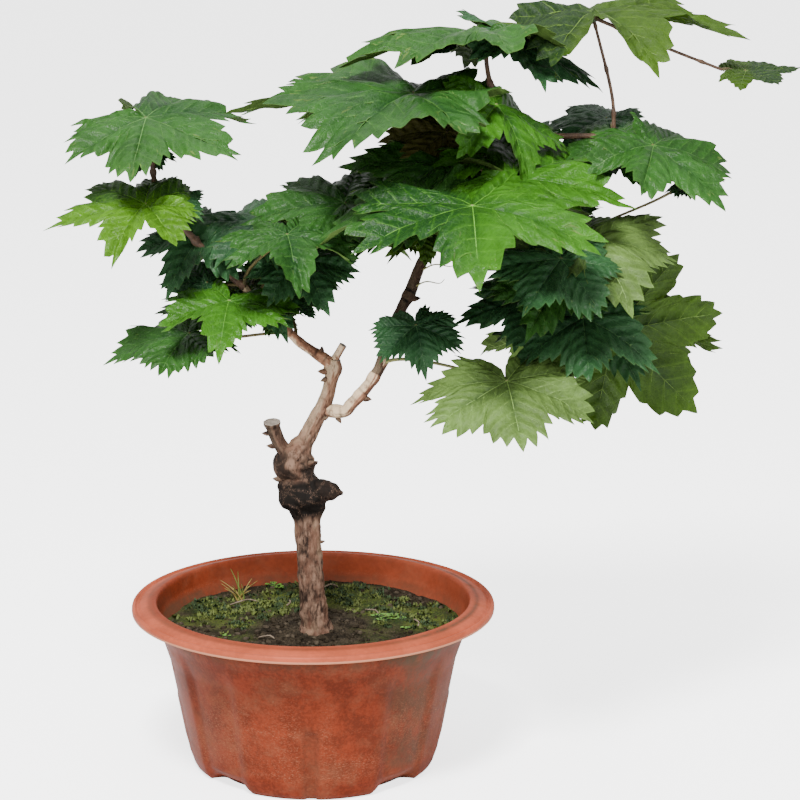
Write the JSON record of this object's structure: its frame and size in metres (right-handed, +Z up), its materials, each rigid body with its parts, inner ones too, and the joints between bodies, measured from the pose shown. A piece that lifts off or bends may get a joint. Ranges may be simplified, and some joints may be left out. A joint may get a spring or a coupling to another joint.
{
  "type": "potted grapevine",
  "caption": "Small grafted grapevine in a fluted round pot: a leaning trunk forks into two boughs that carry an open, spreading crown of broad lobed leaves.",
  "frame": {"origin": "centre of the pot's flat underside", "axes": "+Z up; -Y towards the viewer's side, where the crown's broad face is; +X towards the side that the crown reaches furthest over"},
  "size_m": [0.5403, 0.3755, 0.5941],
  "materials": {
    "pot": "dusty terracotta-coloured plastic, fluted",
    "soil": "damp dark soil with patches of moss",
    "trunk_bark": "thin flaking grey-brown bark",
    "graft_bark": "old cracked dark bark",
    "young_cane": "smooth tan cane, lightly ribbed",
    "shaded_cane": "dark brown cane",
    "leaf_deep": "soft leaf, deep blue-green",
    "leaf_mid": "soft leaf, mid green",
    "leaf_bright": "soft leaf, bright green",
    "leaf_lime": "soft leaf, young yellow-green",
    "leaf_olive": "soft leaf, olive seen against the light",
    "leaf_pale": "soft leaf, pale grey-green"
  },
  "bodies": {
    "root": {"bough_left": "young_cane", "bough_right": "young_cane", "bough_upper": "shaded_cane", "cane_left": "shaded_cane", "cane_left_top": "shaded_cane", "cane_right": "shaded_cane", "cane_right_low": "shaded_cane", "cane_right_tip": "shaded_cane", "cane_right_top": "shaded_cane", "cane_right_upper": "shaded_cane", "cane_top": "shaded_cane", "cane_top_left": "shaded_cane", "cane_upper": "shaded_cane", "crown_back": "leaf_deep", "crown_back_left": "leaf_deep", "crown_back_right": "leaf_mid", "crown_centre": "leaf_deep", "crown_front": "leaf_bright", "crown_left_inner": "leaf_deep", "crown_left_low": "leaf_bright", "crown_left_tip": "leaf_lime", "crown_left_top": "leaf_mid", "crown_middle": "leaf_deep", "crown_right_front": "leaf_pale", "crown_right_inner": "leaf_deep", "crown_right_low": "leaf_olive", "crown_right_middle": "leaf_pale", "crown_right_tip": "leaf_olive", "crown_right_top": "leaf_olive", "crown_right_upper": "leaf_mid", "crown_top": "leaf_mid", "crown_top_left": "leaf_mid", "crown_upper": "leaf_lime", "cut_stub": "young_cane", "fork_stub": "young_cane", "graft_nose": "graft_bark", "pot": "pot", "soil": "soil", "stalk_middle": "young_cane", "stalk_right_front": "young_cane", "trunk": "trunk_bark"}
  },
  "joints": []
}
